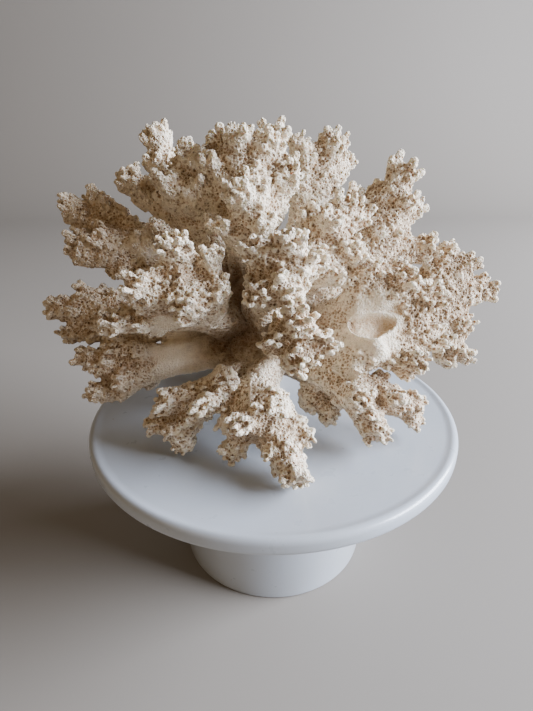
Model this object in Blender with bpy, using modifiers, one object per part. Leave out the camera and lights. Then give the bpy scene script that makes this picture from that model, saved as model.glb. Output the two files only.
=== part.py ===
"""A bleached head of lobed reef coral, set on a white footed cake stand.

Metres, +Z up. The coral's points are given in millimetres from the centre of the plate's top face,
with -Y towards the front. At the end everything hangs on one empty, placed so that the origin is at the
middle of the whole model's lowest level, where the stand's foot meets the table.
"""

import math
import random
from collections import namedtuple

import bmesh
import bpy
from mathutils import Matrix, Vector

MM = 0.001

# The stand, one thrown piece: a flat plate on a hollow foot that narrows a little downwards.
PLATE_RADIUS = 100 * MM
PLATE_EDGE = 8 * MM
PLATE_FLOOR = 6.5 * MM
EDGE_ROUND = 2 * MM
LIP_HEIGHT = 0.8 * MM
LIP_WIDTH = 4 * MM
STAND_HEIGHT = 89 * MM
FOOT_TOP_RADIUS = 58 * MM
FOOT_BASE_RADIUS = 53.5 * MM
FOOT_WALL = 5 * MM
STAND_STEPS = 40

# The coral's own rules.
# Neighbours keep GAP between them. A stalk narrows to its fork, and lobes flare from the fork to their
# ends, with webs between neighbouring lobes at these places along them. Knobs grow from each lobe's outer
# part, KNOB_SPAN of the way along it, sunk in it by KNOB_SEAT of its radius and leaning towards its end.
GAP = 0.3 * MM
STONE_VOXEL = 1.3 * MM
LIMB_SIDES = 16
STALK_TAPER = 0.85
LOBE_ROOT = 0.8
WEB_PLACES = (0.45, 0.8)
WEB_THICKNESS = 0.75
KNOBS_ON_LOBE = 4
KNOB_RADIUS = 2.7 * MM
KNOB_REACH = 2.6 * MM
KNOB_SPAN = (0.65, 1.0)
KNOB_LEAN = (0.5, 1.2)
KNOB_SIZES = (0.85, 1.2)
KNOB_REACHES = (0.6, 1.2)
KNOB_STRAY = 0.5
KNOB_SEAT = 0.85
KNOB_MOST = 0.6
KNOB_FOOT = 1.2
FACES_ON_LOBE = 42
TRUNK_FACES = 260
FLOOR_BLOCK = (0.4, 0.4, 0.1)

# root and fork are points in millimetres and stalk is a radius; a lobe is its end's centre and radius.
Branch = namedtuple("Branch", "name root fork stalk lobes")

TRUNK_LIMBS = (
    ((-12, 38, -6), (-12, 30, 30), 20, 18),
    ((-12, 30, 30), (-10, 20, 50), 18, 17),
    ((-10, 20, 50), (10, 14, 52), 17, 14),
    ((-10, 20, 50), (-4, 16, 72), 17, 12),
    ((-10, 20, 50), (-8, -8, 40), 15, 11),
)

BRANCHES = (
    Branch("branch_top", (-6, 14, 66), (-13, 2, 96), 12,
           ((-27, 6, 134, 7), (-14, 6, 140, 9), (-1, 4, 141, 9), (8, -4, 128, 7), (-10, -12, 121, 11),
            (-23, -12, 106, 5), (-4, -14, 108, 7))),
    Branch("branch_upper_left", (-16, 18, 60), (-34, 16, 92), 10,
           ((-73, 30, 118, 4.5), (-59, 42, 133, 8), (-40, 12, 132, 7), (-50, 10, 120, 8), (-37, 8, 116, 9))),
    Branch("branch_top_back", (4, 22, 68), (18, 30, 98), 10,
           ((17, 44, 133, 8), (34, 46, 133, 9), (29, 40, 116, 8), (40, 50, 126, 6))),
    Branch("branch_upper_right", (10, 16, 60), (41, 14, 80), 11,
           ((46, 42, 111, 5), (53, 24, 110, 8), (67, 22, 122, 8), (65, 18, 107, 8), (58, 14, 93, 9),
            (80, 22, 85, 8), (76, 26, 106, 5))),
    Branch("branch_left_front", (-14, 8, 50), (-32, -18, 64), 11,
           ((-67, -34, 67, 7), (-53, -38, 83, 10), (-41, -34, 97, 8), (-26, -38, 95, 5), (-22, -42, 83, 7),
            (-36, -42, 79, 10))),
    Branch("branch_left_high", (-24, 18, 54), (-57, 14, 83), 10,
           ((-105, 34, 102, 6), (-93, 36, 109, 6), (-98, 14, 87, 8), (-83, 12, 91, 9), (-65, 8, 91, 8),
            (-80, 12, 80, 7))),
    Branch("branch_left", (-24, 12, 44), (-64, 0, 54), 11,
           ((-111, 0, 61, 7), (-97, 2, 64, 8), (-84, -4, 58, 8), (-103, -2, 49, 7))),
    Branch("branch_left_low", (-20, 4, 38), (-57, -8, 34), 11,
           ((-88, -14, 37, 8), (-88, -18, 19, 6), (-73, -18, 29, 8), (-79, -12, 44, 7))),
    Branch("branch_front_left", (-12, -4, 36), (-28, -30, 30), 9,
           ((-46, -44, 11, 7), (-59, -40, 12, 4), (-29, -44, 30, 6), (-49, -38, 29, 6), (-22, -40, 42, 6))),
    Branch("branch_front", (-6, -8, 34), (-9, -36, 31), 12,
           ((8, -68, 8, 8), (5, -62, 16, 7), (-18, -50, 9, 5), (-19, -48, 20, 7), (-10, -54, 27, 8),
            (1, -52, 31, 8), (17, -58, 21, 3))),
    Branch("branch_centre", (-4, -2, 52), (-6, -24, 76), 10,
           ((4, -46, 86, 8), (-4, -40, 98, 7), (7, -40, 101, 7), (-2, -44, 80, 6), (11, -42, 93, 7))),
    Branch("branch_centre_low", (0, -6, 42), (4, -32, 57), 9,
           ((0, -48, 62, 6), (10, -54, 57, 7), (21, -52, 63, 6), (11, -50, 71, 8))),
    Branch("branch_centre_right", (8, 6, 58), (15, -4, 80), 10,
           ((26, -8, 104, 9), (37, -4, 108, 7), (34, -12, 93, 8), (19, -20, 90, 8), (19, -4, 106, 7),
            (29, -18, 82, 6))),
    Branch("branch_right", (14, 8, 48), (39, -8, 56), 13,
           ((45, -14, 81, 9), (60, -14, 77, 10), (74, -14, 69, 8), (77, -18, 51, 8), (64, -26, 43, 9),
            (47, -30, 48, 9), (37, -30, 40, 7))),
    Branch("branch_far_right", (20, 18, 46), (84, 14, 53), 11,
           ((102, 28, 80, 8), (112, 24, 75, 7), (119, 22, 61, 8), (110, 14, 45, 9), (106, 8, 31, 9))),
    Branch("branch_front_right", (10, -2, 36), (38, -26, 28), 11,
           ((47, -42, 15, 8.5), (40, -42, 29, 8), (57, -32, 26, 8), (70, -28, 16, 8.5))),
    Branch("branch_low_middle", (4, 2, 30), (23, -8, 25), 8,
           ((29, -24, 12, 7), (18, -20, 17, 6))),
    Branch("branch_back", (-8, 34, 60), (-8, 58, 88), 11,
           ((-26, 66, 116, 8), (-8, 72, 118, 9), (8, 70, 110, 8), (-18, 82, 98, 9), (2, 82, 94, 8))),
    Branch("branch_back_left", (-26, 30, 48), (-54, 48, 64), 11,
           ((-84, 54, 84, 8), (-82, 66, 66, 9), (-64, 68, 88, 8), (-72, 52, 50, 7), (-64, 74, 70, 8))),
    Branch("branch_back_right", (8, 32, 48), (40, 52, 64), 11,
           ((68, 54, 86, 8), (56, 72, 82, 9), (76, 60, 62, 8), (54, 74, 56, 8), (66, 64, 74, 8))),
    Branch("branch_back_middle", (-10, 40, 42), (-10, 62, 54), 11,
           ((-24, 80, 64, 8), (-8, 84, 54, 9), (8, 80, 64, 8), (-8, 78, 74, 7))),
    Branch("branch_back_low_left", (-24, 34, 30), (-46, 56, 30), 10,
           ((-66, 62, 14, 8), (-70, 62, 34, 8), (-50, 78, 30, 8), (-42, 74, 14, 7))),
    Branch("branch_back_low_right", (2, 38, 30), (28, 58, 30), 10,
           ((46, 70, 14, 8), (54, 62, 34, 8), (32, 80, 30, 8), (22, 76, 14, 7))),
)


def clear_scene():
    """Removes whatever the file opened with."""
    for obj in list(bpy.data.objects):
        bpy.data.objects.remove(obj, do_unlink=True)


def make_collection(name):
    """A new collection in the scene."""
    collection = bpy.data.collections.new(name)
    bpy.context.scene.collection.children.link(collection)
    return collection


def make_material(name, colour, roughness):
    """A Principled material of one colour."""
    material = bpy.data.materials.new(name)
    material.use_nodes = True
    shader = material.node_tree.nodes["Principled BSDF"]
    shader.inputs["Base Color"].default_value = (*colour, 1.0)
    shader.inputs["Roughness"].default_value = roughness
    return material


def baked(obj):
    """The object's mesh as its modifiers leave it, as a new mesh."""
    graph = bpy.context.evaluated_depsgraph_get()
    return bpy.data.meshes.new_from_object(obj.evaluated_get(graph))


def add_limb(bm, start, end, start_radius, end_radius):
    """A round-ended tapering limb between two points."""
    along = end - start
    turn = along.to_track_quat("Z", "Y").to_matrix().to_4x4()
    middle = Matrix.Translation((start + end) / 2) @ turn
    bmesh.ops.create_cone(
        bm, cap_ends=True, segments=LIMB_SIDES, radius1=start_radius, radius2=end_radius,
        depth=along.length, matrix=middle,
    )
    for centre, radius in ((start, start_radius), (end, end_radius)):
        bmesh.ops.create_icosphere(
            bm, subdivisions=2, radius=radius, matrix=Matrix.Translation(centre)
        )


def add_knobs(bm, start, tip, radius, dice):
    """Warty knobs that lean towards the lobe's tip, round the outer part of the lobe."""
    along = (tip - start).normalized()
    side = along.orthogonal().normalized()
    turn = dice.uniform(0, math.tau)
    for _ in range(KNOBS_ON_LOBE):
        turn += math.tau / KNOBS_ON_LOBE + dice.uniform(-KNOB_STRAY, KNOB_STRAY)
        outward = Matrix.Rotation(turn, 3, along) @ side
        base = start.lerp(tip, dice.uniform(*KNOB_SPAN))
        lean = (outward + along * dice.uniform(*KNOB_LEAN)).normalized()
        reach = radius * KNOB_SEAT + KNOB_REACH * dice.uniform(*KNOB_REACHES)
        knob = min(KNOB_RADIUS * dice.uniform(*KNOB_SIZES), radius * KNOB_MOST)
        add_limb(bm, base, base + lean * reach, knob * KNOB_FOOT, knob)


def stone_mesh(name, bm, faces):
    """The bmesh's overlapping limbs fused into one skin, and brought down to about so many triangles."""
    rough = bpy.data.meshes.new(name + "_limbs")
    bm.to_mesh(rough)
    bm.free()
    helper = bpy.data.objects.new(name + "_limbs", rough)
    bpy.context.scene.collection.objects.link(helper)
    fuse = helper.modifiers.new("fuse", "REMESH")
    fuse.mode = "VOXEL"
    fuse.voxel_size = STONE_VOXEL
    soften = helper.modifiers.new("soften", "SMOOTH")
    soften.factor = 0.5
    soften.iterations = 2
    fused = baked(helper)
    reduce = helper.modifiers.new("reduce", "DECIMATE")
    reduce.ratio = faces / (2 * len(fused.polygons))
    mesh = baked(helper)
    bpy.data.objects.remove(helper, do_unlink=True)
    mesh.shade_smooth()
    return mesh


def keep_largest_body(mesh):
    """Drops the crumbs that a cut leaves beside the main body."""
    bm = bmesh.new()
    bm.from_mesh(mesh)
    bmesh.ops.triangulate(bm, faces=bm.faces[:])
    left = set(bm.verts)
    bodies = []
    while left:
        body = {left.pop()}
        frontier = list(body)
        while frontier:
            vert = frontier.pop()
            for edge in vert.link_edges:
                other = edge.other_vert(vert)
                if other in left:
                    left.discard(other)
                    body.add(other)
                    frontier.append(other)
        bodies.append(body)
    bodies.sort(key=len)
    crumbs = [vert for body in bodies[:-1] for vert in body]
    bmesh.ops.delete(bm, geom=crumbs, context="VERTS")
    bm.to_mesh(mesh)
    bm.free()


def clearance_copy(obj, cutters):
    """The object swollen by the gap, to cut its neighbours with."""
    mesh = obj.data.copy()
    bm = bmesh.new()
    bm.from_mesh(mesh)
    bm.normal_update()
    normals = {vert: vert.normal.copy() for vert in bm.verts}
    for vert, normal in normals.items():
        vert.co += normal * GAP
    bm.to_mesh(mesh)
    bm.free()
    cutter = bpy.data.objects.new(obj.name + "_clearance", mesh)
    cutters.objects.link(cutter)
    cutter.hide_render = True
    cutter.display_type = "WIRE"
    return cutter


def boxes_meet(one, other):
    """Whether the two objects' boxes come within the gap of each other."""
    spans = []
    for obj in (one, other):
        points = [vert.co for vert in obj.data.vertices]
        spans.append([(min(p[i] for p in points), max(p[i] for p in points)) for i in range(3)])
    return all(a[0] < b[1] + GAP and b[0] < a[1] + GAP for a, b in zip(*spans))


def cut_by(obj, cutters):
    """Cuts each cutter that reaches the object out of it."""
    for cutter in cutters:
        if not boxes_meet(obj, cutter):
            continue
        cut = obj.modifiers.new("clear_of_" + cutter.name, "BOOLEAN")
        cut.operation = "DIFFERENCE"
        cut.solver = "EXACT"
        cut.object = cutter
        mesh = baked(obj)
        if not mesh.vertices:
            cut.solver = "MANIFOLD"
            mesh = baked(obj)
        obj.modifiers.clear()
        obj.data = mesh
        keep_largest_body(mesh)


def add_stone(name, mesh, material, parts):
    """An object of coral stone in the model's collection."""
    obj = bpy.data.objects.new(name, mesh)
    parts.objects.link(obj)
    mesh.materials.clear()
    mesh.materials.append(material)
    return obj


def make_floor_cutter(cutters):
    """A block under the coral that gives its flat cut and keeps its tips off the plate."""
    bm = bmesh.new()
    bmesh.ops.create_cube(bm, size=1.0)
    bmesh.ops.scale(bm, vec=FLOOR_BLOCK, verts=bm.verts)
    bmesh.ops.translate(bm, vec=(0, 0, GAP - FLOOR_BLOCK[2] / 2), verts=bm.verts)
    mesh = bpy.data.meshes.new("plate_clearance")
    bm.to_mesh(mesh)
    bm.free()
    floor = bpy.data.objects.new("plate_clearance", mesh)
    cutters.objects.link(floor)
    floor.hide_render = True
    floor.display_type = "WIRE"
    return floor


def make_trunk(material, parts):
    """The stub that the coral stands on, cut flat at the plate, and the knot that the branches leave."""
    bm = bmesh.new()
    for start, end, start_radius, end_radius in TRUNK_LIMBS:
        add_limb(bm, Vector(start) * MM, Vector(end) * MM, start_radius * MM, end_radius * MM)
    return add_stone("trunk", stone_mesh("trunk", bm, TRUNK_FACES), material, parts)


def make_branch(branch, material, parts):
    """One main branch: a stalk, lobes that flare out from its fork with webs between them, and knobs."""
    dice = random.Random(branch.name)
    root = Vector(branch.root) * MM
    fork = Vector(branch.fork) * MM
    stalk = branch.stalk * MM
    ends = [(Vector(lobe[:3]) * MM, lobe[3] * MM) for lobe in branch.lobes]
    bm = bmesh.new()
    add_limb(bm, root, fork, stalk, stalk * STALK_TAPER)
    for tip, radius in ends:
        add_limb(bm, fork, tip, max(stalk, radius) * LOBE_ROOT, radius)
        add_knobs(bm, fork, tip, radius, dice)
    for (one, one_radius), (other, other_radius) in zip(ends, ends[1:]):
        thickness = WEB_THICKNESS * min(one_radius, other_radius)
        for place in WEB_PLACES:
            add_limb(bm, fork.lerp(one, place), fork.lerp(other, place), thickness, thickness)
    mesh = stone_mesh(branch.name, bm, FACES_ON_LOBE * len(ends))
    return add_stone(branch.name, mesh, material, parts)


def arc(centre_x, centre_z, radius, from_angle, to_angle, steps):
    """Points on an arc in the XZ plane, ends included; angles in degrees."""
    turns = [math.radians(from_angle + (to_angle - from_angle) * i / steps) for i in range(steps + 1)]
    return [(centre_x + radius * math.cos(a), 0, centre_z + radius * math.sin(a)) for a in turns]


def make_stand(material, parts):
    """The cake stand, a profile turned about Z: top face, lip, rounded edge, underside, hollow foot."""
    edge_centre = PLATE_RADIUS - EDGE_ROUND
    under = -PLATE_EDGE
    profile = [(0, 0, 0), (PLATE_RADIUS - LIP_WIDTH - EDGE_ROUND, 0, 0)]
    profile += [(PLATE_RADIUS - LIP_WIDTH, 0, LIP_HEIGHT * 0.7)]
    profile += arc(edge_centre, LIP_HEIGHT - EDGE_ROUND, EDGE_ROUND, 90, 0, 2)
    profile += arc(edge_centre, under + EDGE_ROUND, EDGE_ROUND, 0, -90, 2)
    profile += [
        (FOOT_TOP_RADIUS + EDGE_ROUND, 0, under),
        (FOOT_TOP_RADIUS, 0, under - EDGE_ROUND),
        (FOOT_BASE_RADIUS, 0, -STAND_HEIGHT + EDGE_ROUND / 2),
        (FOOT_BASE_RADIUS - EDGE_ROUND / 2, 0, -STAND_HEIGHT),
        (FOOT_BASE_RADIUS - FOOT_WALL, 0, -STAND_HEIGHT),
        (FOOT_TOP_RADIUS - FOOT_WALL, 0, -PLATE_FLOOR - 3 * EDGE_ROUND),
        (FOOT_TOP_RADIUS - FOOT_WALL - 2 * EDGE_ROUND, 0, -PLATE_FLOOR - EDGE_ROUND / 2),
        (0, 0, -PLATE_FLOOR),
    ]
    mesh = bpy.data.meshes.new("cake_stand")
    edges = [(i, i + 1) for i in range(len(profile) - 1)]
    mesh.from_pydata(profile, edges, [])
    obj = bpy.data.objects.new("cake_stand", mesh)
    parts.objects.link(obj)
    turn = obj.modifiers.new("turned", "SCREW")
    turn.angle = math.tau
    turn.steps = STAND_STEPS
    turn.render_steps = STAND_STEPS
    turn.use_merge_vertices = True
    turn.merge_threshold = 0.00005
    obj.data = baked(obj)
    obj.modifiers.clear()
    obj.data.materials.clear()
    obj.data.materials.append(material)
    obj.data.shade_smooth()
    obj.data.set_sharp_from_angle(angle=math.radians(40))
    return obj


def stand_on_origin(objects):
    """Hangs every piece on one empty, placed so that the origin is at the middle of the lowest level."""
    points = [vert.co for obj in objects for vert in obj.data.vertices]
    low = Vector([min(p[i] for p in points) for i in range(3)])
    high = Vector([max(p[i] for p in points) for i in range(3)])
    plate_centre = bpy.data.objects.new("plate_centre", None)
    bpy.context.scene.collection.objects.link(plate_centre)
    plate_centre.location = (-(low.x + high.x) / 2, -(low.y + high.y) / 2, -low.z)
    for obj in objects:
        obj.parent = plate_centre


def main():
    clear_scene()
    parts = make_collection("branching_coral")
    cutters = make_collection("clearances")
    cutters.hide_render = True
    stone = make_material("bleached_coral", (0.80, 0.72, 0.61), 0.85)
    glaze = make_material("white_glaze", (0.86, 0.87, 0.88), 0.3)

    stand = make_stand(glaze, parts)
    floor = make_floor_cutter(cutters)
    coral = [make_trunk(stone, parts)]
    coral += [make_branch(branch, stone, parts) for branch in BRANCHES]
    taken = [floor]
    for piece in coral:
        cut_by(piece, taken)
        taken.append(clearance_copy(piece, cutters))
    for cutter in taken:
        bpy.data.objects.remove(cutter, do_unlink=True)
    stand_on_origin([stand, *coral])


main()
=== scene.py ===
"""A bleached branching coral on a white cake stand: its finishes, and the floor, lights and camera."""

import math
from collections import namedtuple

import bmesh
import bpy
import numpy as np
from bpy.props import FloatProperty, FloatVectorProperty, IntProperty, PointerProperty
from mathutils import Matrix, Vector
from mathutils.bvhtree import BVHTree


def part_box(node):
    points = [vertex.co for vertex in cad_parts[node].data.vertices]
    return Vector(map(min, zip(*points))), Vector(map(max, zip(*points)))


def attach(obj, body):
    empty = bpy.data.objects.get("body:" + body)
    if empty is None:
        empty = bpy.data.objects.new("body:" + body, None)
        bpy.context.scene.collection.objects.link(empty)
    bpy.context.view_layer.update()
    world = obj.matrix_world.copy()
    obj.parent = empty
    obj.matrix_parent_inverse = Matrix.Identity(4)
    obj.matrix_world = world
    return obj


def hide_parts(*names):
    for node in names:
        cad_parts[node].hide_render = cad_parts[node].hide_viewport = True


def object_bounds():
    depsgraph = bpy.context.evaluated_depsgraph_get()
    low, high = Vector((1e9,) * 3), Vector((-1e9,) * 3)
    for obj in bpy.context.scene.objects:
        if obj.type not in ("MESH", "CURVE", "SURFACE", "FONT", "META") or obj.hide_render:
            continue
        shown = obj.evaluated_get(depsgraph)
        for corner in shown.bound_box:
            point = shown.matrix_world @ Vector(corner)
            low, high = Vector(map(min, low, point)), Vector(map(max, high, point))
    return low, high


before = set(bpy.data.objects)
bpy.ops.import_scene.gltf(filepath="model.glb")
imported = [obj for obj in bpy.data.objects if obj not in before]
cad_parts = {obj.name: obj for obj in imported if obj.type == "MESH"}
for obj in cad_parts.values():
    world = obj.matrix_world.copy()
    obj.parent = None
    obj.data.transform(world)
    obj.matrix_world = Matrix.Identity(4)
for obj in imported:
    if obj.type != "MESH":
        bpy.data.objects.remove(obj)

bl_info = {
    "name": "Branching coral",
    "version": (1, 0, 0),
    "blender": (4, 5, 0),
    "location": "View3D > Sidebar > Coral",
    "description": "Dresses a branching coral and its cake stand",
    "category": "Add Mesh",
}

MM = 0.001
CAD_GAP = 0.3 * MM
WELD = 0.01 * MM
STAND = "cake_stand"
TRUNK = "trunk"
SPOONED = "branch_right"
BRANCHES = sorted(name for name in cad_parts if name.startswith("branch_"))
FORM_NAMES = ("floret_form", "finger_form")

BOX_LOW, BOX_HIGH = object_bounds()
STAND_LOW, STAND_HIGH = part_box(STAND)
AXIS = (STAND_LOW + STAND_HIGH) / 2
PLATE_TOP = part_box(TRUNK)[0].z - CAD_GAP


def on_plate(x, y, z):
    """The place that many millimetres from the middle of the plate's top."""
    return Vector((AXIS.x + x * MM, AXIS.y + y * MM, PLATE_TOP + z * MM))


# The branches leave the trunk round the hub, and their fingers head away from the root below it.
HUB = on_plate(-8, 12, 50)
ROOT = HUB - Vector((0, 0, 30 * MM))

# Growths begin at the first share of a branch's reach from the hub, and are all there at the second.
GROWN_FROM = 0.40
GROWN_AT = 0.80

# How many growths are tried for in the square of their spacing, how far they stray from their heading, how
# they vary in size, and the heights over the plate between which they come to their full length.
CROWDING = 1.6
STRAY = 0.25
SIZES = (0.72, 1.25)
LOW_HEIGHTS = (5 * MM, 60 * MM)

# A rim begins and is full at these heights over the skin averaged this many times.
RIM_RELIEF = (0.1 * MM, 1.3 * MM)
RIM_ROUNDS = 30

# The spoon is the smooth hollow of the right branch. Its lip's place and width are shares of its reach.
SPOON = on_plate(47, -26, 60)
SPOON_REACH = Vector((16 * MM, 8.5 * MM, 5 * MM))
SPOON_DEPTH = 5 * MM
LIP_HEIGHT = 1.2 * MM
LIP_PLACE = 1.1
LIP_WIDTH = 0.16

# The smooth webs, as middles and radii. Growths and pores fade in between two shares of a web's radius.
SMOOTH_WEBS = [
    (on_plate(x, y, z), radius * MM)
    for x, y, z, radius in ((48, -26, 60, 17), (-45, -14, 38, 19), (-51, -35, 63, 9))
]
WEB_WOBBLE_SIZE = 8 * MM
GROWTH_EDGE = (0.7, 1.0)
PORE_EDGE = (0.6, 1.1)

# The rows of pores sway this far, in waves of this size, and the webs keep this share of the pores' depth.
PORE_SWAY = 1.2 * MM
PORE_SWAY_SIZE = 2 * MM
PORES_ON_WEBS = 0.15

# How often the skin is averaged to tell its grit and its height, and what one deviation of them counts for.
GRIT_ROUNDS = 8
HEIGHT_ROUNDS = 80
DEVIATION = 0.28

# A place's outness goes from 0 at the first distance from the hub to 1 over the second.
OUT_FROM = 18 * MM
OUT_SPAN = 72 * MM

# The skin's room inside the CAD model's box and over the plate, and the share of its faces the trunk keeps.
BOX_ROOM = 0.1 * MM
PLATE_ROOM = 0.05 * MM
TRUNK_SHARE = 0.5


class CoralForm(bpy.types.PropertyGroup):
    """Sizes of the coral's lobes, fingers and pores."""

    form_voxel: FloatProperty(name="Form voxel", description="Cell used to round the branches' solids",
                              default=1.1 * MM, unit="LENGTH")
    shrink: FloatProperty(name="Shrink", description="How far the rounded form draws in under its growths",
                          default=1.0 * MM, unit="LENGTH")
    sink: FloatProperty(name="Sink", description="How deep a branch is rooted in its neighbour",
                        default=6 * MM, unit="LENGTH")
    floret_radius: FloatProperty(name="Floret radius", description="Radius of a middling lump of a lobe",
                                 default=5.4 * MM, unit="LENGTH")
    floret_spacing: FloatProperty(name="Floret spacing", description="Least distance between two lumps",
                                  default=10.2 * MM, unit="LENGTH")
    finger_radius: FloatProperty(name="Finger radius", description="Radius of a middling finger",
                                 default=1.6 * MM, unit="LENGTH")
    finger_spacing: FloatProperty(name="Finger spacing", description="Least distance between two fingers",
                                  default=3.0 * MM, unit="LENGTH")
    swell: FloatProperty(name="Swell", description="Height of the skin's broad swells",
                         default=1.6 * MM, unit="LENGTH")
    swell_size: FloatProperty(name="Swell size", description="Width of a broad swell",
                              default=7 * MM, unit="LENGTH")
    rough: FloatProperty(name="Roughness", description="Height of the skin's fine lumps",
                         default=0.7 * MM, unit="LENGTH")
    rough_size: FloatProperty(name="Roughness size", description="Width of a fine lump",
                              default=1.5 * MM, unit="LENGTH")
    pore_spacing: FloatProperty(name="Pore spacing", description="Distance from pore to pore",
                                default=1.4 * MM, unit="LENGTH")
    pore_depth: FloatProperty(name="Pore depth", description="How deep a pore's pit is",
                              default=0.6 * MM, unit="LENGTH")
    skin_voxel: FloatProperty(name="Skin voxel", description="Cell used to fuse the fingers",
                              default=0.46 * MM, unit="LENGTH")
    kept_faces: FloatProperty(name="Kept faces", description="Share of the fused skin's faces that is kept",
                              default=0.30, min=0.05, max=1.0)


class CoralPaint(bpy.types.PropertyGroup):
    """Colours of the bleached stone, its stains, and the shade painted into its hollows, round its hub, on
    its left side and in its pits.
    """

    tip: FloatVectorProperty(name="Tips", description="Bright edges and finger tips", subtype="COLOR",
                             default=(0.95, 0.825, 0.64))
    stone: FloatVectorProperty(name="Stone", description="The stone between the tips", subtype="COLOR",
                               default=(0.74, 0.55, 0.36))
    # Also painted as shade in the hollows, on the coral's left side and in the pores' mouths.
    stain_and_shade: FloatVectorProperty(name="Stain", description="Tan stain in the hollows", subtype="COLOR",
                               default=(0.48, 0.31, 0.18))
    # Also painted as shade in the deepest recesses and round the hub.
    dust_and_shade: FloatVectorProperty(name="Dust", description="Brown dust between the branches", subtype="COLOR",
                              default=(0.23, 0.13, 0.066))
    pit: FloatVectorProperty(name="Pits", description="Shade in the deepest pits", subtype="COLOR",
                             default=(0.15, 0.083, 0.042))


class StandForm(bpy.types.PropertyGroup):
    """Sizes and colours of the cake stand."""

    edge: FloatProperty(name="Edge", description="Thickness of the plate's edge",
                        default=8 * MM, unit="LENGTH")
    floor: FloatProperty(name="Floor", description="Thickness of the plate over its foot",
                         default=6.5 * MM, unit="LENGTH")
    edge_round: FloatProperty(name="Edge rounding", description="Radius of the plate's edge",
                              default=3 * MM, unit="LENGTH")
    lip: FloatProperty(name="Lip", description="Rise of the faint lip", default=0.8 * MM, unit="LENGTH")
    lip_width: FloatProperty(name="Lip width", description="Width of the lip", default=4 * MM, unit="LENGTH")
    foot_top: FloatProperty(name="Foot top", description="Radius of the foot under the plate",
                            default=58 * MM, unit="LENGTH")
    foot_base: FloatProperty(name="Foot base", description="Radius of the foot where it stands",
                             default=53.5 * MM, unit="LENGTH")
    foot_wall: FloatProperty(name="Foot wall", description="Thickness of the foot's wall",
                             default=5 * MM, unit="LENGTH")
    steps: IntProperty(name="Steps", description="Faces round the plate", default=192)
    glaze: FloatVectorProperty(name="Glaze", description="Colour of the glaze", subtype="COLOR",
                               default=(0.42, 0.45, 0.49))
    speck: FloatVectorProperty(name="Specks", description="Colour of the iron specks", subtype="COLOR",
                               default=(0.25, 0.18, 0.12))


class StageForm(bpy.types.PropertyGroup):
    """Camera, lights and floor."""

    focal_pixels: FloatProperty(name="Focal length", description="In pixels of the picture", default=493.0)
    picture_height: FloatProperty(name="Picture height", description="In pixels", default=711.0)
    camera_side: FloatProperty(name="Camera side", description="Right of the stand's axis",
                               default=-3.2 * MM, unit="LENGTH")
    camera_back: FloatProperty(name="Camera back", description="In front of the stand's axis",
                               default=241 * MM, unit="LENGTH")
    camera_height: FloatProperty(name="Camera height", description="Above the floor",
                                 default=236 * MM, unit="LENGTH")
    pitch: FloatProperty(name="Pitch", description="How far the camera looks down", subtype="ANGLE",
                         default=math.radians(25.3))
    roll: FloatProperty(name="Roll", description="Turn of the picture", subtype="ANGLE",
                        default=math.radians(-0.5))
    window_power: FloatProperty(name="Window", description="Power of the window's light",
                                default=212.0, unit="POWER")
    window_colour: FloatVectorProperty(name="Window colour", description="Colour of the window's light",
                                       subtype="COLOR", default=(0.88, 0.965, 1.14))
    fill_power: FloatProperty(name="Fill", description="Power of the fill from the left",
                              default=2.6, unit="POWER")
    fill_colour: FloatVectorProperty(name="Fill colour", description="Colour of the fill", subtype="COLOR",
                                     default=(1.0, 0.74, 0.44))
    sky_strength: FloatProperty(name="Sky", description="Strength of the light all round", default=0.22)
    sky_colour: FloatVectorProperty(name="Sky colour", description="Colour of the light all round",
                                    subtype="COLOR", default=(1.0, 0.78, 0.52))
    floor: FloatVectorProperty(name="Floor", description="Colour of the floor and backdrop",
                               subtype="COLOR", default=(0.23, 0.205, 0.175))


class Wire:
    """An output socket of a node tree. Arithmetic on wires adds Math nodes, and node() adds any other."""

    def __init__(self, tree, socket=None):
        self.tree = tree
        self.socket = socket

    def node(self, kind, settings=None, values=None, give=0):
        """Adds a node, sets its settings and then its sockets, and returns one of its outputs."""
        made = self.tree.nodes.new(kind)
        for name, value in (settings or {}).items():
            setattr(made, name, value)
        fill_sockets(made, values or {})
        return Wire(self.tree, made.outputs[give])

    def output(self, name):
        """Another output of the wire's node."""
        return Wire(self.tree, self.socket.node.outputs[name])

    def maths(self, operation, *values):
        """A Math node of that operation."""
        return self.node("ShaderNodeMath", {"operation": operation}, dict(enumerate(values)))

    def vectors(self, operation, *values, scale=None, give=0):
        """A Vector Math node of that operation. Only SCALE takes a scale."""
        sockets = dict(enumerate(values))
        if scale is not None:
            sockets["Scale"] = scale
        return self.node("ShaderNodeVectorMath", {"operation": operation}, sockets, give)

    def noise(self, place, size, detail=2, rough=0.5, give=0):
        """A Noise Texture with features of that size."""
        sockets = {"Vector": place, "Scale": 1 / size, "Detail": detail, "Roughness": rough}
        return self.node("ShaderNodeTexNoise", {}, sockets, give)

    def __add__(self, other):
        return self.maths("ADD", self, other)

    def __radd__(self, other):
        return self.maths("ADD", other, self)

    def __sub__(self, other):
        return self.maths("SUBTRACT", self, other)

    def __rsub__(self, other):
        return self.maths("SUBTRACT", other, self)

    def __mul__(self, other):
        return self.maths("MULTIPLY", self, other)

    def __rmul__(self, other):
        return self.maths("MULTIPLY", other, self)

    def climb(self, low, high):
        """Rises smoothly from 0 at low to 1 at high, which may be wires."""
        sockets = {"Value": self, "From Min": low, "From Max": high}
        return self.node("ShaderNodeMapRange", {"interpolation_type": "SMOOTHSTEP"}, sockets)

    def step(self, low, high):
        """Rises smoothly from 0 at low to 1 at high, or falls where low is above high. Both are numbers."""
        return 1 - self.climb(high, low) if low > high else self.climb(low, high)

    def at_least(self, share):
        """Squeezes the range from 0 to 1 into the range from that share to 1."""
        return self * (1 - share) + share

    def blend(self, dark, light):
        """The colour that goes from dark at 0 to light at 1."""
        sockets = {0: self, 6: as_colour(dark), 7: as_colour(light)}
        return self.node("ShaderNodeMix", {"data_type": "RGBA"}, sockets, give=2)


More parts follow.
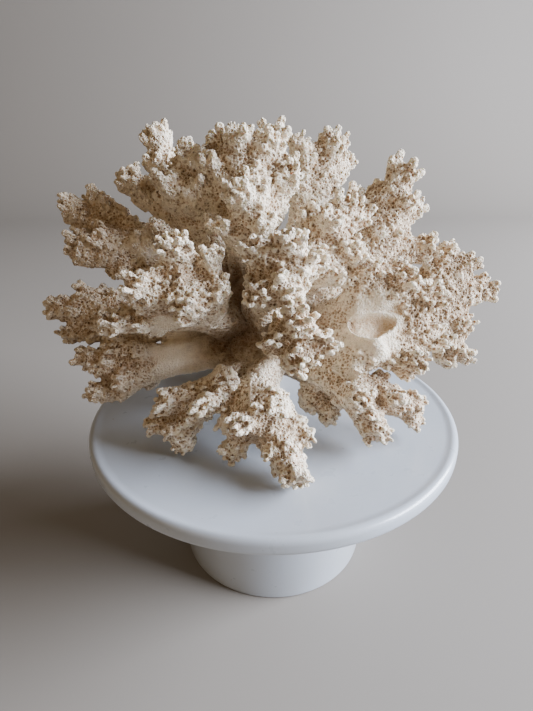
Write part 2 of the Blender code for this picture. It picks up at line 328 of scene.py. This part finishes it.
def fill_sockets(node, values):
    """Sets a node's input sockets, or links them where the value is a wire."""
    for name, value in values.items():
        if isinstance(value, Wire):
            value.tree.links.new(value.socket, node.inputs[name])
        else:
            node.inputs[name].default_value = value


def as_colour(value):
    """A wire as it is, or three numbers with an alpha of 1."""
    return value if isinstance(value, Wire) else (*value, 1.0)


def new_material(name):
    """A material with its Principled shader, and a wire to build its nodes from."""
    material = bpy.data.materials.new(name)
    material.use_nodes = True
    return material, material.node_tree.nodes["Principled BSDF"], Wire(material.node_tree)


def distance_to(wire, place, point):
    """How far a place is from a fixed point."""
    return wire.vectors("DISTANCE", place, point, give="Value")


def off_webs(wire, place, edge):
    """0 on the smooth webs and 1 off them, between two shares of a web's radius, with a wandering edge."""
    wobble = wire.noise(place, WEB_WOBBLE_SIZE) - 0.5
    inner, outer = edge
    mask = 1.0
    for point, radius in SMOOTH_WEBS:
        distance = distance_to(wire, place, point) + wobble * radius
        mask = distance.step(radius * inner, radius * outer) * mask
    return mask


def pore_cells(wire, place, spacing):
    """The sockets of a Voronoi texture whose cells are the pores, in rows that sway."""
    sway = wire.vectors("SCALE", wire.noise(place, PORE_SWAY_SIZE, give="Color"), scale=PORE_SWAY)
    return {"Vector": wire.vectors("ADD", place, sway), "Scale": 1 / spacing, "Randomness": 1.0}


def coral_material(form, paint):
    """Bleached stone: bright tips, tan stain and painted shade in the hollows, dust and painted shade round
    the hub, painted shade on the left and right sides and in the pores' mouths, painted light on the top, and
    pale rims round the pores.
    """
    material, shader, wire = new_material("coral_stone")
    place = wire.node("ShaderNodeTexCoord", give="Object")
    height, grit, outness = (
        wire.node("ShaderNodeAttribute", {"attribute_name": name}, give="Fac")
        for name in ("height", "grit", "outness")
    )
    porous = off_webs(wire, place, PORE_EDGE)
    cloudy = wire.noise(place, 15 * MM, 3)
    mottle = wire.noise(place, 4 * MM, 4, 0.6)
    speckle = wire.noise(place, 0.7 * MM, 2, 0.6)
    cells = pore_cells(wire, place, form.pore_spacing)
    mouths = wire.node("ShaderNodeTexVoronoi", {}, cells, give="Distance")
    walls = wire.node("ShaderNodeTexVoronoi", {"feature": "DISTANCE_TO_EDGE"}, cells, give="Distance")
    chance = wire.node("ShaderNodeSeparateColor", {}, {"Color": mouths.output("Color")})
    lace = walls.step(0.20, 0.04)
    open_pits = (chance + mottle * 0.8 - height * 0.3).step(0.15, 0.65)
    pit = mouths.step(0.56, 0.18) * open_pits * porous.at_least(PORES_ON_WEBS)

    side = wire.node("ShaderNodeSeparateXYZ", {}, {"Vector": place}, give="X")
    # Painted light: the coral's top is painted whiter.
    crest = side.output("Z").step(PLATE_TOP + 80 * MM, PLATE_TOP + 130 * MM)
    # Painted shade: the coral's right side is painted darker, to hold back the window's light there.
    right = side.step(AXIS.x + 15 * MM, AXIS.x + 60 * MM)
    # Ridges and tips come out whiter and recesses darker: partly the stone's own colour, partly painted light
    # and shade.
    raised = height * 0.9 + grit * 0.45 + cloudy * 0.8 + mottle * 0.5 + (1 - porous) * 0.6
    raised = raised + crest * 0.12 - right * 0.26
    whiteness = (raised + lace * 0.22).step(0.95, 1.48)
    # hollow is tan stain and painted shade in the recesses.
    hollow = raised.step(1.40, 0.85) * porous.at_least(0.25)
    # deep is dust and painted shade in the deepest recesses.
    deep = raised.step(1.10, 0.70) * porous
    # Dust and painted shade round the hub, between the branches.
    hub_shade_and_dust = (outness + mottle * 0.3).step(0.60, 0.20)
    # Painted shade: the coral's left side is painted browner.
    left_painted_shade = (side + cloudy * (40 * MM)).step(AXIS.x - 15 * MM, AXIS.x - 75 * MM)

    layers = (
        (hollow * 0.70, paint.stain_and_shade),
        (deep * 0.45, paint.dust_and_shade),
        (speckle.step(0.54, 0.70) * 0.35, paint.stain_and_shade),
        # Stain and painted shade in the pores' mouths.
        (pit * (0.35 + 0.3 * hollow), paint.stain_and_shade),
        (lace * open_pits * porous * 0.45, paint.tip),
        (left_painted_shade * 0.35, paint.stain_and_shade),
        (hub_shade_and_dust * 0.85, paint.dust_and_shade),
        # Painted shade in the deepest of the pores' mouths.
        (pit * (chance + 0.30 * hollow).step(0.85, 1.20) * 0.75, paint.pit),
    )
    colour = whiteness.blend(paint.stone, paint.tip)
    for cover, tint in layers:
        colour = cover.blend(colour, tint)
    relief = lace * 0.5 + speckle * 0.4 - pit * 0.8 + mottle * 0.4
    bump = wire.node("ShaderNodeBump", {}, {"Height": relief, "Distance": 0.8 * MM, "Strength": 1.0})
    fill_sockets(shader, {
        "Base Color": colour, "Normal": bump, "Roughness": 0.82, "Specular IOR Level": 0.25,
        "Subsurface Weight": 0.12, "Subsurface Radius": (1.0, 0.75, 0.5), "Subsurface Scale": 2.5 * MM,
    })
    return material


def glaze_material(form):
    """White glaze: faint clouds in its colour, uneven gloss, orange peel and a few iron specks."""
    material, shader, wire = new_material("stand_glaze")
    place = wire.node("ShaderNodeTexCoord", give="Object")
    cloudy = wire.noise(place, 60 * MM, 3)
    smear = wire.noise(place, 9 * MM, 4)
    peel = wire.noise(place, 2.2 * MM, 2)
    dots = wire.node("ShaderNodeTexVoronoi", {}, {"Vector": place, "Scale": 1 / (9 * MM)}, give="Distance")
    chance = wire.node("ShaderNodeSeparateColor", {}, {"Color": dots.output("Color")})
    speck = dots.step(0.055, 0.03) * chance.step(0.62, 0.72)
    warm = tuple(channel * share for channel, share in zip(form.glaze, (0.97, 0.95, 0.92)))
    colour = cloudy.step(0.35, 0.7).blend(form.glaze, warm)
    colour = (speck * 0.7).blend(colour, form.speck)
    height = peel + cloudy * 2
    bump = wire.node("ShaderNodeBump", {}, {"Height": height, "Distance": 0.05 * MM, "Strength": 0.5})
    fill_sockets(shader, {
        "Base Color": colour, "Roughness": smear * 0.16 + 0.22, "Normal": bump,
        "Coat Weight": 0.35, "Coat Roughness": 0.12,
    })
    return material


def floor_material(stage):
    """A plain pale floor."""
    material, shader, _ = new_material("floor")
    fill_sockets(shader, {"Base Color": as_colour(stage.floor), "Roughness": 0.75})
    return material


def show(name, data):
    """A new object with that data, at the origin, in the scene."""
    obj = bpy.data.objects.new(name, data)
    bpy.context.scene.collection.objects.link(obj)
    return obj


def mesh_of(name, bm):
    """The bmesh as a mesh, and the bmesh freed."""
    mesh = bpy.data.meshes.new(name)
    bm.to_mesh(mesh)
    bm.free()
    return mesh


def welded_copy(node):
    """A CAD node's mesh as a bmesh whose loose triangles are joined."""
    bm = bmesh.new()
    bm.from_mesh(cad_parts[node].data)
    bmesh.ops.remove_doubles(bm, verts=bm.verts, dist=WELD)
    return bm


def round_form(name, below=0.0, above=0.0):
    """A ball 1 mm in radius, drawn out below and above its middle."""
    bm = bmesh.new()
    bmesh.ops.create_icosphere(bm, subdivisions=2, radius=MM)
    for side, length in ((-1, below), (1, above)):
        half = [vert for vert in bm.verts if vert.co.z * side > 0.1 * MM]
        bmesh.ops.translate(bm, verts=half, vec=(0, 0, side * length))
    return show(name, mesh_of(name, bm))


# slimmest is the share of its width that a growth keeps off the rims, lowest the share of its length that it
# keeps there, low_share the share that it keeps by the plate, and flatness how much wider it is one way.
Growth = namedtuple("Growth", "form radius spacing seat lean lengths slimmest lowest low_share flatness seed")


def scatter(wire, skin, outness, growth):
    """Copies of a form all over the skin, as one geometry. They lean outwards, and are longest on rims."""
    relief = wire.node("GeometryNodeInputNamedAttribute", {"data_type": "FLOAT"}, {"Name": "relief"})
    rim = relief.step(*RIM_RELIEF)
    spread = wire.node(
        "GeometryNodeDistributePointsOnFaces", {"distribute_method": "POISSON"},
        {"Mesh": skin, "Distance Min": growth.spacing, "Density Max": CROWDING / growth.spacing ** 2,
         "Density Factor": outness, "Seed": growth.seed},
        give="Points",
    )
    normal = spread.output("Normal")
    place = wire.node("GeometryNodeInputPosition")
    outward = wire.vectors("NORMALIZE", wire.vectors("SUBTRACT", place, ROOT))
    stray = wire.node(
        "FunctionNodeRandomValue", {"data_type": "FLOAT_VECTOR"},
        {"Min": (-STRAY,) * 3, "Max": (STRAY,) * 3, "Seed": growth.seed + 1},
    )
    heading = wire.vectors("MULTIPLY_ADD", outward, (growth.lean,) * 3, normal)
    heading = wire.vectors("ADD", heading, stray)
    turn = wire.node("FunctionNodeAlignRotationToVector", {"axis": "Z"}, {"Vector": heading})
    inward = wire.vectors("SCALE", normal, scale=-growth.seat)
    seated = wire.node("GeometryNodeSetPosition", {}, {"Geometry": spread, "Offset": inward})
    size, tall = (
        wire.node("FunctionNodeRandomValue", {"data_type": "FLOAT"}, {2: low, 3: high, "Seed": seed}, give=1)
        for (low, high), seed in ((SIZES, growth.seed + 2), (growth.lengths, growth.seed + 3))
    )
    width = size * rim.at_least(growth.slimmest) * (growth.radius / MM)
    above_plate = wire.node("ShaderNodeSeparateXYZ", {}, {"Vector": place}, give="Z") - PLATE_TOP
    rise = tall * rim.at_least(growth.lowest) * (outness * 0.5 + 0.6)
    rise = rise * above_plate.step(*LOW_HEIGHTS).at_least(growth.low_share)
    scale = wire.node(
        "ShaderNodeCombineXYZ", {},
        {"X": width * (1 + growth.flatness), "Y": width * (1 - growth.flatness), "Z": width * rise},
    )
    shape = wire.node(
        "GeometryNodeObjectInfo", {"transform_space": "ORIGINAL"}, {"Object": growth.form}, give="Geometry"
    )
    copies = wire.node(
        "GeometryNodeInstanceOnPoints", {},
        {"Points": seated, "Instance": shape, "Rotation": turn, "Scale": scale},
    )
    return wire.node("GeometryNodeRealizeInstances", {}, {"Geometry": copies})


def new_geometry_tree(name, *numbers):
    """A node group that takes geometry and those numbers, a wire to build it from, and its input geometry."""
    tree = bpy.data.node_groups.new(name, "GeometryNodeTree")
    tree.interface.new_socket("Geometry", in_out="INPUT", socket_type="NodeSocketGeometry")
    for number in numbers:
        tree.interface.new_socket(number, in_out="INPUT", socket_type="NodeSocketFloat")
    tree.interface.new_socket("Geometry", in_out="OUTPUT", socket_type="NodeSocketGeometry")
    wire = Wire(tree)
    return tree, wire, wire.node("NodeGroupInput")


def growth_nodes(name, growth):
    """Geometry nodes that grow a form on a branch, most on its outer part, and none on its smooth webs."""
    tree, wire, skin = new_geometry_tree(name, "Inner", "Outer")
    place = wire.node("GeometryNodeInputPosition")
    outness = distance_to(wire, place, HUB).climb(skin.output("Inner"), skin.output("Outer"))
    outness = outness * off_webs(wire, place, GROWTH_EDGE)
    blurred = wire.node(
        "GeometryNodeBlurAttribute", {"data_type": "FLOAT_VECTOR"}, {"Value": place, "Iterations": RIM_ROUNDS}
    )
    lifted = wire.vectors("SUBTRACT", place, blurred)
    relief = wire.vectors("DOT_PRODUCT", lifted, wire.node("GeometryNodeInputNormal"), give="Value")
    marked = wire.node(
        "GeometryNodeStoreNamedAttribute", {"data_type": "FLOAT", "domain": "POINT"},
        {"Geometry": skin, "Name": "relief", "Value": relief},
    )
    joined = wire.node("GeometryNodeJoinGeometry")
    for geometry in (skin, scatter(wire, marked, outness, growth)):
        fill_sockets(joined.socket.node, {"Geometry": geometry})
    fill_sockets(tree.nodes.new("NodeGroupOutput"), {"Geometry": joined})
    return tree


def pore_nodes(name, form):
    """Geometry nodes that sink a pit in each pore, in the cells that the material paints."""
    tree, wire, skin = new_geometry_tree(name)
    place = wire.node("GeometryNodeInputPosition")
    cells = pore_cells(wire, place, form.pore_spacing)
    mouths = wire.node("ShaderNodeTexVoronoi", {}, cells, give="Distance")
    pit = mouths.step(0.60, 0.15) * off_webs(wire, place, PORE_EDGE).at_least(PORES_ON_WEBS)
    inward = wire.vectors("SCALE", wire.node("GeometryNodeInputNormal"), scale=pit * -form.pore_depth)
    sunk = wire.node("GeometryNodeSetPosition", {}, {"Geometry": skin, "Offset": inward})
    fill_sockets(tree.nodes.new("NodeGroupOutput"), {"Geometry": sunk})
    return tree


def root_in_neighbours(bm, neighbours, sink):
    """Pushes what faces a neighbour across the CAD gap into it, so that no seam shows."""
    near = CAD_GAP * 2.5
    for vert in bm.verts:
        found = [tree.find_nearest(vert.co, near) for tree in neighbours]
        found = [(hit[3], hit[0]) for hit in found if hit[0] is not None]
        if found:
            distance, point = min(found, key=lambda pair: pair[0])
            heading = point - vert.co
            if distance > WELD:
                vert.co += heading.normalized() * (distance + sink)


def add_modifier(obj, kind, **settings):
    """Adds a modifier and sets it."""
    modifier = obj.modifiers.new(kind.lower(), kind)
    for name, value in settings.items():
        setattr(modifier, name, value)
    return modifier


def add_fusing(obj, voxel, rounds):
    """Fuses all that the object is made of in cells of that size, and smooths it that many times."""
    add_modifier(obj, "REMESH", mode="VOXEL", voxel_size=voxel)
    add_modifier(obj, "SMOOTH", factor=0.5, iterations=rounds)


def add_growth(obj, growth, inner, outer):
    """Grows a form on the object, from none at the inner distance from the hub to all at the outer one."""
    modifier = add_modifier(obj, "NODES", node_group=growth)
    names = {item.name: item.identifier for item in growth.interface.items_tree if item.in_out == "INPUT"}
    modifier[names["Inner"]] = inner
    modifier[names["Outer"]] = outer


def add_clouds(obj, name, height, size):
    """Lifts and sinks the skin in soft clouds. Pieces share the clouds of one name."""
    texture = bpy.data.textures.get(name) or bpy.data.textures.new(name, "CLOUDS")
    texture.noise_scale = size
    add_modifier(obj, "DISPLACE", strength=height, mid_level=0.5, texture_coords="LOCAL", texture=texture)


def applied(obj):
    """Bakes the object's modifiers into its mesh."""
    graph = bpy.context.evaluated_depsgraph_get()
    mesh = bpy.data.meshes.new_from_object(obj.evaluated_get(graph))
    obj.modifiers.clear()
    obj.data = mesh
    return mesh


def read_points(mesh, what="co"):
    """The places of the mesh's points, or their normals, as an array."""
    flat = np.empty(len(mesh.vertices) * 3, np.float32)
    mesh.vertices.foreach_get(what, flat)
    return flat.reshape(-1, 3).astype(np.float64)


def move_points(mesh, points):
    """Puts the mesh's points at those places."""
    mesh.vertices.foreach_set("co", points.astype(np.float32).ravel())
    mesh.update()


def spread_average(mesh, values, rounds):
    """The values averaged over their neighbours, that many times."""
    edges = np.empty(len(mesh.edges) * 2, np.int32)
    mesh.edges.foreach_get("vertices", edges)
    edges = edges.reshape(-1, 2)
    count = np.bincount(edges.ravel(), minlength=len(values)).astype(float)[:, None] + 1
    for _ in range(rounds):
        total = values.copy()
        for axis in range(values.shape[1]):
            total[:, axis] += np.bincount(edges[:, 0], values[edges[:, 1], axis], len(values))
            total[:, axis] += np.bincount(edges[:, 1], values[edges[:, 0], axis], len(values))
        values = total / count
    return values


def store(mesh, name, values):
    """Keeps a number for each point of the mesh."""
    layer = mesh.attributes.new(name, "FLOAT", "POINT")
    layer.data.foreach_set("value", values.astype(np.float32))


def mark_surface(mesh):
    """Stores how far each point stands out of the skin round it, and how far out from the hub it is."""
    points, normals = read_points(mesh), read_points(mesh, "normal")
    near = spread_average(mesh, points, GRIT_ROUNDS)
    far = spread_average(mesh, near, HEIGHT_ROUNDS)
    for name, level in (("grit", near), ("height", far)):
        relief = ((points - level) * normals).sum(axis=1)
        store(mesh, name, np.clip(0.5 + DEVIATION * (relief - relief.mean()) / relief.std(), 0, 1))
    reach = np.linalg.norm(points - np.array(HUB), axis=1)
    store(mesh, "outness", np.clip((reach - OUT_FROM) / OUT_SPAN, 0, 1))


def hollow_spoon(mesh):
    """Sinks the smooth spoon with its lip into the skin, along the mean normal there."""
    points = read_points(mesh)
    away = np.linalg.norm((points - np.array(SPOON)) / np.array(SPOON_REACH), axis=1)
    near = np.clip(1 - away ** 2, 0, 1)
    heading = (read_points(mesh, "normal") * near[:, None]).sum(axis=0)
    heading /= np.linalg.norm(heading)
    lip = np.exp(-((away - LIP_PLACE) / LIP_WIDTH) ** 2)
    move_points(mesh, points - heading * (near ** 0.5 * SPOON_DEPTH - lip * LIP_HEIGHT)[:, None])


def settle(mesh):
    """Keeps the skin inside the CAD model's box, and flat where it rests on the plate."""
    points = read_points(mesh)
    hub = np.array(HUB)
    for axis in range(3):
        for limit, side in ((BOX_HIGH[axis], 1), (BOX_LOW[axis], -1)):
            beyond = side * (points[:, axis] - hub[axis])
            room = side * (limit - hub[axis]) - BOX_ROOM
            if beyond.max() > room:
                share = room / beyond.max()
                outer = beyond > 0
                points[outer, axis] = hub[axis] + (points[outer, axis] - hub[axis]) * share
    points[:, 2] = np.maximum(points[:, 2], PLATE_TOP + PLATE_ROOM)
    move_points(mesh, points)


def drop_crumbs(mesh):
    """Deletes the tiny loose shells that fusing leaves, so that one closed skin remains."""
    bm = bmesh.new()
    bm.from_mesh(mesh)
    left = set(bm.verts)
    shells = []
    while left:
        shell = [left.pop()]
        for vert in shell:
            near = [edge.other_vert(vert) for edge in vert.link_edges]
            found = [other for other in near if other in left]
            left.difference_update(found)
            shell += found
        shells.append(shell)
    shells.sort(key=len)
    crumbs = [vert for shell in shells[:-1] for vert in shell]
    bmesh.ops.delete(bm, geom=crumbs, context="VERTS")
    bm.to_mesh(mesh)
    bm.free()


def grow_piece(node, neighbours, kit):
    """The dressed form of one coral node: rounded, grown over, fused, roughened, pitted and painted."""
    form = bpy.context.scene.coral_form
    bm = welded_copy(node)
    root_in_neighbours(bm, neighbours, form.sink)
    obj = show(node + "_skin", mesh_of(node + "_skin", bm))
    reach = max((vert.co - HUB).length for vert in obj.data.vertices)
    inner, outer = reach * GROWN_FROM, reach * GROWN_AT
    add_modifier(obj, "SUBSURF", levels=2, render_levels=2)
    add_fusing(obj, form.form_voxel, rounds=2)
    add_modifier(obj, "DISPLACE", strength=-form.shrink, mid_level=0.0)
    add_growth(obj, kit.lumps, inner, outer)
    add_fusing(obj, form.form_voxel, rounds=3)
    add_growth(obj, kit.fingers, inner, outer)
    add_fusing(obj, form.skin_voxel, rounds=2)
    add_clouds(obj, "swell", form.swell, form.swell_size)
    add_clouds(obj, "rough", form.rough, form.rough_size)
    mesh = applied(obj)
    if node == SPOONED:
        hollow_spoon(mesh)
    settle(mesh)
    add_modifier(obj, "NODES", node_group=kit.pores)
    add_modifier(obj, "DECIMATE", ratio=form.kept_faces * (TRUNK_SHARE if node == TRUNK else 1.0))
    mesh = applied(obj)
    drop_crumbs(mesh)
    settle(mesh)
    mesh.shade_smooth()
    mark_surface(mesh)
    mesh.materials.clear()
    mesh.materials.append(kit.material)
    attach(obj, "root")
    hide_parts(node)


CoralKit = namedtuple("CoralKit", "lumps fingers pores material")


def coral_kit():
    """The growths, pores and material that all of the coral's pieces share, made at the first call."""
    groups = bpy.data.node_groups
    if "coral_fingers" in groups:
        shared = (groups[name] for name in ("coral_lumps", "coral_fingers", "coral_pores"))
        return CoralKit(*shared, bpy.data.materials["coral_stone"])
    form = bpy.context.scene.coral_form
    floret_form, finger_form = FORM_NAMES
    floret = Growth(
        form=round_form(floret_form), radius=form.floret_radius, spacing=form.floret_spacing,
        seat=1.6 * MM, lean=0.7, lengths=(0.8, 1.1), slimmest=0.8, lowest=0.7, low_share=1.0,
        flatness=0.15, seed=21,
    )
    finger = Growth(
        form=round_form(finger_form, below=1.2 * MM, above=2.0 * MM), radius=form.finger_radius,
        spacing=form.finger_spacing, seat=1.0 * MM, lean=2.0, lengths=(0.85, 1.45), slimmest=0.9,
        lowest=0.45, low_share=0.6, flatness=0.25, seed=3,
    )
    return CoralKit(
        growth_nodes("coral_lumps", floret), growth_nodes("coral_fingers", finger),
        pore_nodes("coral_pores", form), coral_material(form, bpy.context.scene.coral_paint),
    )


def grow_pieces(nodes):
    """Dresses several coral nodes."""
    kit = coral_kit()
    trees = {}
    for node in [TRUNK, *BRANCHES]:
        bm = welded_copy(node)
        trees[node] = BVHTree.FromBMesh(bm)
        bm.free()
    for node in nodes:
        grow_piece(node, [tree for name, tree in trees.items() if name != node], kit)


def arc(centre, radius, from_angle, to_angle, steps):
    """Points on an arc in the XZ plane, ends included; angles in degrees."""
    turns = np.radians(np.linspace(from_angle, to_angle, steps + 1))
    return [(centre[0] + radius * math.cos(a), centre[1] + radius * math.sin(a)) for a in turns]


def stand_profile(form, radius):
    """The stand's outline from the plate's middle, over the edge and down the foot, to under the middle."""
    r, top, under = form.edge_round, PLATE_TOP, PLATE_TOP - form.edge
    edge = radius - r
    lip_start = radius - form.lip_width
    inside = top - form.floor
    foot_in_top, foot_in_base = form.foot_top - form.foot_wall, form.foot_base - form.foot_wall
    fillet = 3 * MM
    toe = 1.2 * MM
    outline = [(0.0, top), (lip_start - r, top)]
    outline += [(lip_start - r * 0.4, top + form.lip * 0.25), (lip_start, top + form.lip * 0.7)]
    outline += arc((edge, top + form.lip - r), r, 90, 0, 6)
    outline += arc((edge, under + r), r, 0, -90, 6)
    outline += [(form.foot_top + fillet * 2, under)]
    outline += arc((form.foot_top + fillet, under - fillet), fillet, 90, 180, 5)
    outline += arc((form.foot_base - toe, toe), toe, 0, -90, 4)
    outline += arc((foot_in_base + toe, toe), toe, -90, -180, 4)
    outline += arc((foot_in_top - fillet, inside - fillet), fillet, 0, 90, 5)
    outline += [(0.0, inside)]
    return outline


class CORAL_OT_stand(bpy.types.Operator):
    """Turns the cake stand from its outline and glazes it"""

    bl_idname = "coral.stand"
    bl_label = "Make the cake stand"

    def execute(self, context):
        form = context.scene.coral_stand
        bm = bmesh.new()
        outline = stand_profile(form, (STAND_HIGH.x - STAND_LOW.x) / 2)
        verts = [bm.verts.new((AXIS.x + x, AXIS.y, z)) for x, z in outline]
        edges = [bm.edges.new(pair) for pair in zip(verts, verts[1:])]
        bmesh.ops.spin(
            bm, geom=verts + edges, cent=(AXIS.x, AXIS.y, 0), axis=(0, 0, 1), angle=math.tau,
            steps=form.steps, use_merge=True,
        )
        bmesh.ops.remove_doubles(bm, verts=bm.verts, dist=WELD)
        bmesh.ops.recalc_face_normals(bm, faces=bm.faces)
        mesh = mesh_of("cake_stand_glazed", bm)
        mesh.shade_smooth()
        mesh.materials.append(glaze_material(form))
        obj = show("cake_stand_glazed", mesh)
        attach(obj, "root")
        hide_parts(STAND)
        return {"FINISHED"}


class CORAL_OT_trunk(bpy.types.Operator):
    """Grows the trunk that the branches leave"""

    bl_idname = "coral.trunk"
    bl_label = "Grow the trunk"

    def execute(self, context):
        grow_pieces([TRUNK])
        return {"FINISHED"}


class CORAL_OT_branches(bpy.types.Operator):
    """Grows every main branch with its fingers"""

    bl_idname = "coral.branches"
    bl_label = "Grow the branches"

    def execute(self, context):
        grow_pieces(BRANCHES)
        for name in FORM_NAMES:
            bpy.data.objects.remove(bpy.data.objects[name], do_unlink=True)
        return {"FINISHED"}


class CORAL_OT_stage(bpy.types.Operator):
    """Sets the floor, the lights and the camera"""

    bl_idname = "coral.stage"
    bl_label = "Set the stage"

    def execute(self, context):
        stage = context.scene.coral_stage
        set_camera(stage)
        set_lights(stage)
        set_floor(stage)
        return {"FINISHED"}


def set_camera(stage):
    """The camera stands where the photograph was taken from."""
    data = bpy.data.cameras.new("camera")
    data.sensor_width = 36.0
    data.lens = data.sensor_width * stage.focal_pixels / stage.picture_height
    data.clip_start = 10 * MM
    camera = show("camera", data)
    place = Vector((AXIS.x + stage.camera_side, AXIS.y - stage.camera_back, stage.camera_height))
    aim = Matrix.Rotation(math.pi / 2 - stage.pitch, 4, "X") @ Matrix.Rotation(stage.roll, 4, "Z")
    camera.matrix_world = Matrix.Translation(place) @ aim
    bpy.context.scene.camera = camera


def add_area_light(name, place, size, power, colour):
    """An oblong soft light that faces the coral's middle; its size is its width and height."""
    data = bpy.data.lights.new(name, "AREA")
    data.shape = "RECTANGLE"
    data.size, data.size_y = size
    data.energy = power
    data.color = colour
    light = show(name, data)
    heading = on_plate(0, 0, 60) - Vector(place)
    light.matrix_world = Matrix.Translation(place) @ heading.to_track_quat("-Z", "Y").to_matrix().to_4x4()


def set_lights(stage):
    """Soft window light from the right, a weak warm fill from the left, and a dim warm sky."""
    add_area_light(
        "window", place=(1.72, -0.10, 0.78), size=(1.6, 0.8),
        power=stage.window_power, colour=stage.window_colour,
    )
    add_area_light(
        "fill", place=(-0.9, -1.2, 0.7), size=(1.2, 1.2), power=stage.fill_power, colour=stage.fill_colour
    )
    world = bpy.data.worlds.new("sky")
    bpy.context.scene.world = world
    world.use_nodes = True
    sky = {"Color": as_colour(stage.sky_colour), "Strength": stage.sky_strength}
    fill_sockets(world.node_tree.nodes["Background"], sky)


def set_floor(stage):
    """A pale floor, 6 m wide, that bends up into a plain backdrop behind the stand."""
    half, back, height, bend, bend_steps = 3.0, 1.6, 3.0, 0.5, 12
    curve = [(back - bend + x, bend + z) for x, z in arc((0, 0), bend, -90, 0, bend_steps)]
    outline = [(-half, 0.0), *curve, (back, height)]
    bm = bmesh.new()
    verts = [bm.verts.new((-half, y, z)) for y, z in outline]
    edges = [bm.edges.new(pair) for pair in zip(verts, verts[1:])]
    sweep = bmesh.ops.extrude_edge_only(bm, edges=edges)
    moved = [item for item in sweep["geom"] if isinstance(item, bmesh.types.BMVert)]
    bmesh.ops.translate(bm, verts=moved, vec=(2 * half, 0, 0))
    bmesh.ops.recalc_face_normals(bm, faces=bm.faces)
    mesh = mesh_of("floor", bm)
    mesh.shade_smooth()
    mesh.materials.append(floor_material(stage))
    show("floor", mesh)


class VIEW3D_PT_coral(bpy.types.Panel):
    """Lists the coral's steps"""

    bl_label = "Branching coral"
    bl_space_type = "VIEW_3D"
    bl_region_type = "UI"
    bl_category = "Coral"

    def draw(self, context):
        for operator in OPERATORS:
            self.layout.operator(operator.bl_idname)


OPERATORS = (CORAL_OT_stand, CORAL_OT_trunk, CORAL_OT_branches, CORAL_OT_stage)
GROUPS = {
    "coral_form": CoralForm,
    "coral_paint": CoralPaint,
    "coral_stand": StandForm,
    "coral_stage": StageForm,
}


def register():
    """Registers the classes and hangs the settings on the scene."""
    for group in (*GROUPS.values(), *OPERATORS, VIEW3D_PT_coral):
        bpy.utils.register_class(group)
    for name, group in GROUPS.items():
        setattr(bpy.types.Scene, name, PointerProperty(type=group))


def unregister():
    """Takes away what register() added."""
    for name in GROUPS:
        delattr(bpy.types.Scene, name)
    for group in (VIEW3D_PT_coral, *reversed(OPERATORS), *GROUPS.values()):
        bpy.utils.unregister_class(group)


def main():
    """Makes the whole scene."""
    register()
    bpy.ops.coral.stage()
    bpy.ops.coral.stand()
    bpy.ops.coral.trunk()
    bpy.ops.coral.branches()


if __name__ == "__main__":
    main()
